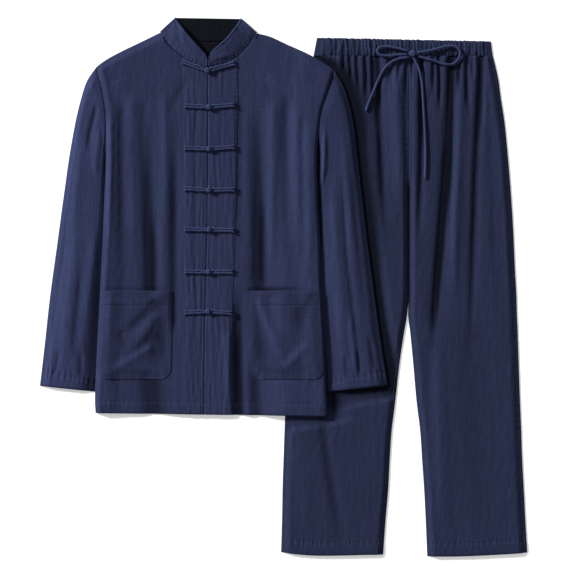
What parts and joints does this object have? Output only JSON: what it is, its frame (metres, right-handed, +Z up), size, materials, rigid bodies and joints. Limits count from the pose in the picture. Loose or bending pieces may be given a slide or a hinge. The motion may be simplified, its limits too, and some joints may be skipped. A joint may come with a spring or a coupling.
{
  "type": "mandarin collar suit",
  "caption": "Navy linen-blend suit laid flat: long-sleeved jacket with stand collar, knotted frogs and patch pockets, overlapping straight trousers with a gathered waist and drawstring.",
  "frame": {"origin": "middle of the flat outline, on the surface that the suit lies on", "axes": "+Y from the trouser hems to the collar, +X from the jacket to the trousers, +Z up off the surface"},
  "size_m": [0.95, 1.0506, 0.0143],
  "materials": {
    "jacket_cloth": "matte",
    "jacket_trim": "matte",
    "frog_cord": "matte",
    "trouser_cloth": "matte",
    "waistband_cloth": "matte",
    "drawstring_cord": "matte"
  },
  "bodies": {
    "root": {"jacket_back": "jacket_cloth", "jacket_front_left": "jacket_cloth", "jacket_front_right": "jacket_cloth", "sleeve_left": "jacket_cloth", "sleeve_right": "jacket_cloth", "collar": "jacket_trim", "placket_left": "jacket_trim", "placket_right": "jacket_trim", "pocket_left": "jacket_trim", "pocket_right": "jacket_trim", "frog_1_tail": "frog_cord", "frog_1_loop": "frog_cord", "frog_1_knot": "frog_cord", "frog_2_tail": "frog_cord", "frog_2_loop": "frog_cord", "frog_2_knot": "frog_cord", "frog_3_tail": "frog_cord", "frog_3_loop": "frog_cord", "frog_3_knot": "frog_cord", "frog_4_tail": "frog_cord", "frog_4_loop": "frog_cord", "frog_4_knot": "frog_cord", "frog_5_tail": "frog_cord", "frog_5_loop": "frog_cord", "frog_5_knot": "frog_cord", "frog_6_tail": "frog_cord", "frog_6_loop": "frog_cord", "frog_6_knot": "frog_cord", "frog_7_tail": "frog_cord", "frog_7_loop": "frog_cord", "frog_7_knot": "frog_cord", "trouser_back_left": "trouser_cloth", "trouser_back_right": "trouser_cloth", "trouser_front_left": "trouser_cloth", "trouser_front_right": "trouser_cloth", "waistband": "waistband_cloth", "drawstring_loop_left": "drawstring_cord", "drawstring_loop_right": "drawstring_cord", "drawstring_end_left": "drawstring_cord", "drawstring_end_right": "drawstring_cord", "drawstring_knot": "drawstring_cord"}
  },
  "joints": []
}
